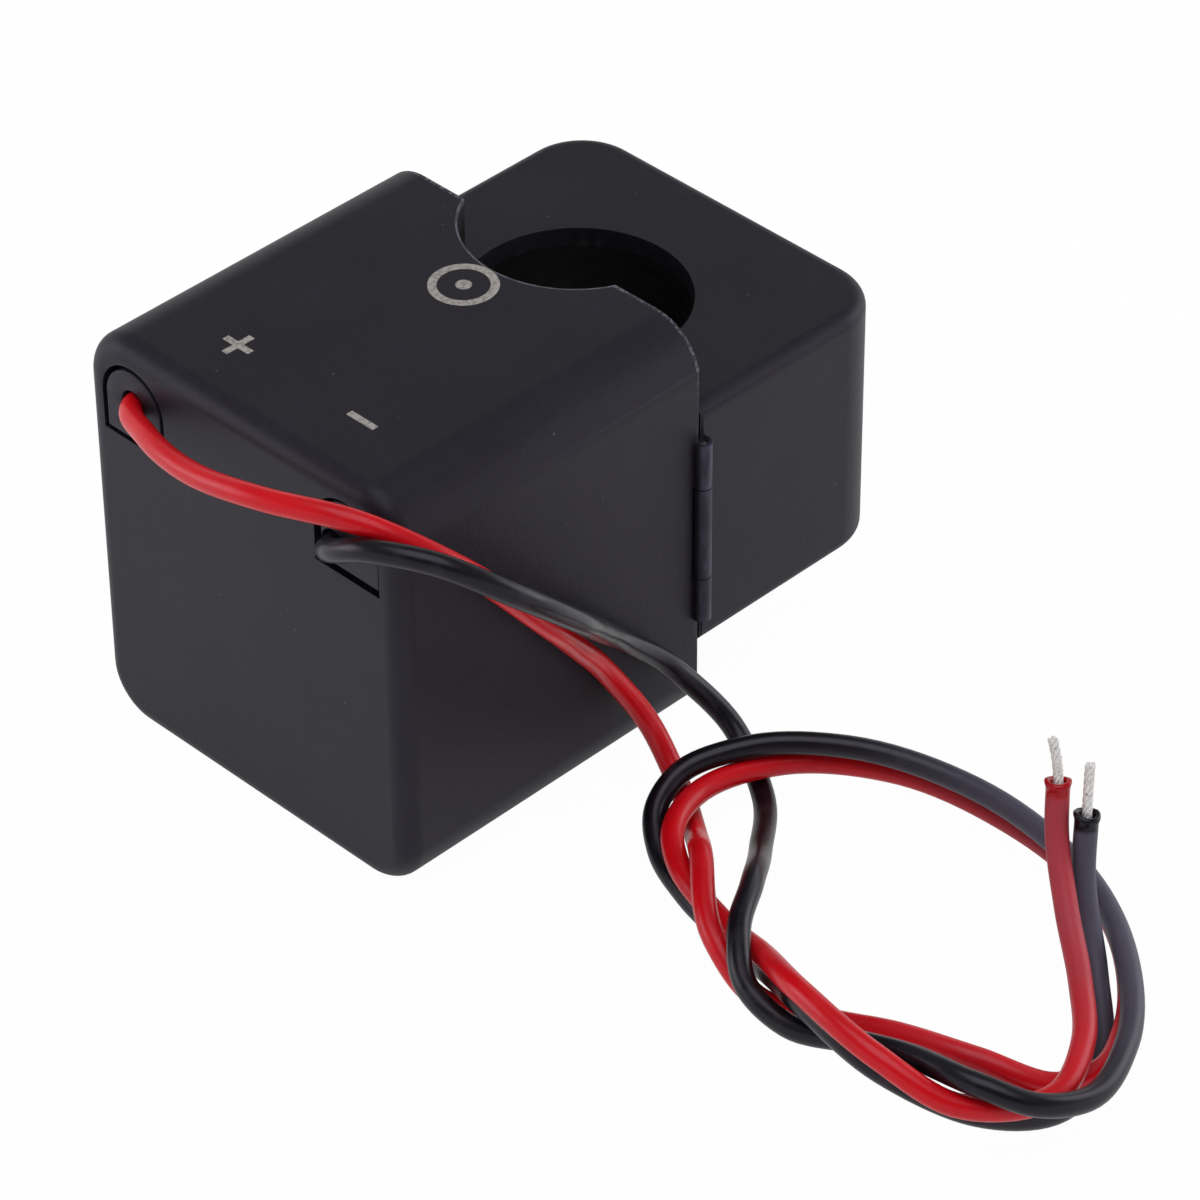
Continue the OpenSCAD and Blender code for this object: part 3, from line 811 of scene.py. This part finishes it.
dress(
    insulation("red insulation", RED, RED_DEEP, RED_TAIL_SHEEN, red_line),
    red_lead, nodes["red_lead"])
dress(
    insulation("black insulation", BLACK, BLACK_DEEP, BLACK_TAIL_SHEEN, black_line),
    black_lead, nodes["black_lead"])
print("leads finished")

# %% [markdown]
# ## Floor, world and lamps
# The part stands on a white sweep under a big soft light tent. A lit floor never comes out quite
# white, so to the camera, and half of it in reflections and through glass, this one glows; its lit
# half still shows the part's soft shadow. Dark glossy plastic shows what stands round it, so the
# floor's light matters as much as the lamps: it is what tells the upright walls from the top.

# %% Make the floor
FLOOR_HALF = 1.5
FLOOR_GLOW = 0.98
MIRRORED_GLOW = 0.5

floor_mesh = bmesh.new()
bmesh.ops.create_grid(floor_mesh, x_segments=2, y_segments=2, size=FLOOR_HALF)
floor_data = bpy.data.meshes.new("floor")
floor_mesh.to_mesh(floor_data)
floor_mesh.free()
floor = bpy.data.objects.new("floor", floor_data)
floor.location.z = REST_Z
bpy.context.scene.collection.objects.link(floor)

sweep = Finish("white sweep", Base_Color=(0.96, 0.96, 0.96, 1), Roughness=0.6, Specular_IOR_Level=0.1)
lit = Signal(sweep, sweep.shader.outputs[0])
glow = sweep.node("ShaderNodeEmission", None, {"Color": (1, 1, 1, 1), "Strength": 1.0})
from_camera = sweep.node("ShaderNodeLightPath", output="Is Camera Ray")
mirrored = sweep.node("ShaderNodeLightPath", output="Is Glossy Ray")
through = sweep.node("ShaderNodeLightPath", output="Is Transmission Ray")
share = (from_camera * FLOOR_GLOW).at_least((mirrored + through) * MIRRORED_GLOW)
mixed = sweep.node("ShaderNodeMixShader", None, {0: share, 1: lit, 2: glow})
sweep.tree.links.new(mixed.socket, sweep.tree.nodes["Material Output"].inputs["Surface"])
dress(sweep.material, floor)

# %% [markdown]
# The tent is white at the horizon and dims towards its roof, and it is darker on the front corner,
# where a camera would stand. Rounded edges that face that gap come out darker than the walls on
# both sides of them, which is what makes the box read as a box.

# %% Make the tent and the lamps
TENT_WALL = 1.0
TENT_ROOF = 0.26
ROOF_FROM, ROOF_TO = 0.15, 0.5
GAP = Vector((-0.55, -0.55, 0.62)).normalized()
GAP_LIGHT = 0.35
GAP_FROM, GAP_TO = 0.75, 0.95

world = bpy.data.worlds.new("studio")
bpy.context.scene.world = world
world.use_nodes = True
studio = NodeMaker(world.node_tree)
way = studio.node("ShaderNodeTexCoord", output="Generated")
height = studio.node("ShaderNodeVectorMath", {"operation": "DOT_PRODUCT"}, {0: way, 1: (0, 0, 1)}, "Value")
facing = studio.node("ShaderNodeVectorMath", {"operation": "DOT_PRODUCT"}, {0: way, 1: GAP}, "Value")
wall_light = TENT_WALL + (TENT_ROOF - TENT_WALL) * height.fade(ROOF_FROM, ROOF_TO)
gap_light = 1 + (GAP_LIGHT - 1) * facing.fade(GAP_FROM, GAP_TO)
tent_light = wall_light * gap_light
background = world.node_tree.nodes["Background"]
background.inputs["Color"].default_value = (1, 1, 1, 1)
world.node_tree.links.new(tent_light.socket, background.inputs["Strength"])

# Where each lamp stands round the window's centre, and its size and power
LAMPS = [
    ("left_panel", (-0.13, 0.13, 0.05), 0.1, 0.07),
    ("right_panel", (0.14, -0.08, 0.05), 0.1, 0.07),
    ("top_panel", (-0.1, -0.1, 0.8), 0.7, 3.4),
]
for name, place, size, power in LAMPS:
    lamp_data = bpy.data.lights.new(name, "AREA")
    lamp_data.size = size
    lamp_data.energy = power
    lamp = bpy.data.objects.new(name, lamp_data)
    lamp.location = place
    lamp.rotation_euler = (-Vector(place)).to_track_quat("-Z", "Y").to_euler()
    lamp.visible_camera = False
    bpy.context.scene.collection.objects.link(lamp)
bpy.context.scene.view_settings.view_transform = "Standard"
print("lamps:", len(LAMPS))
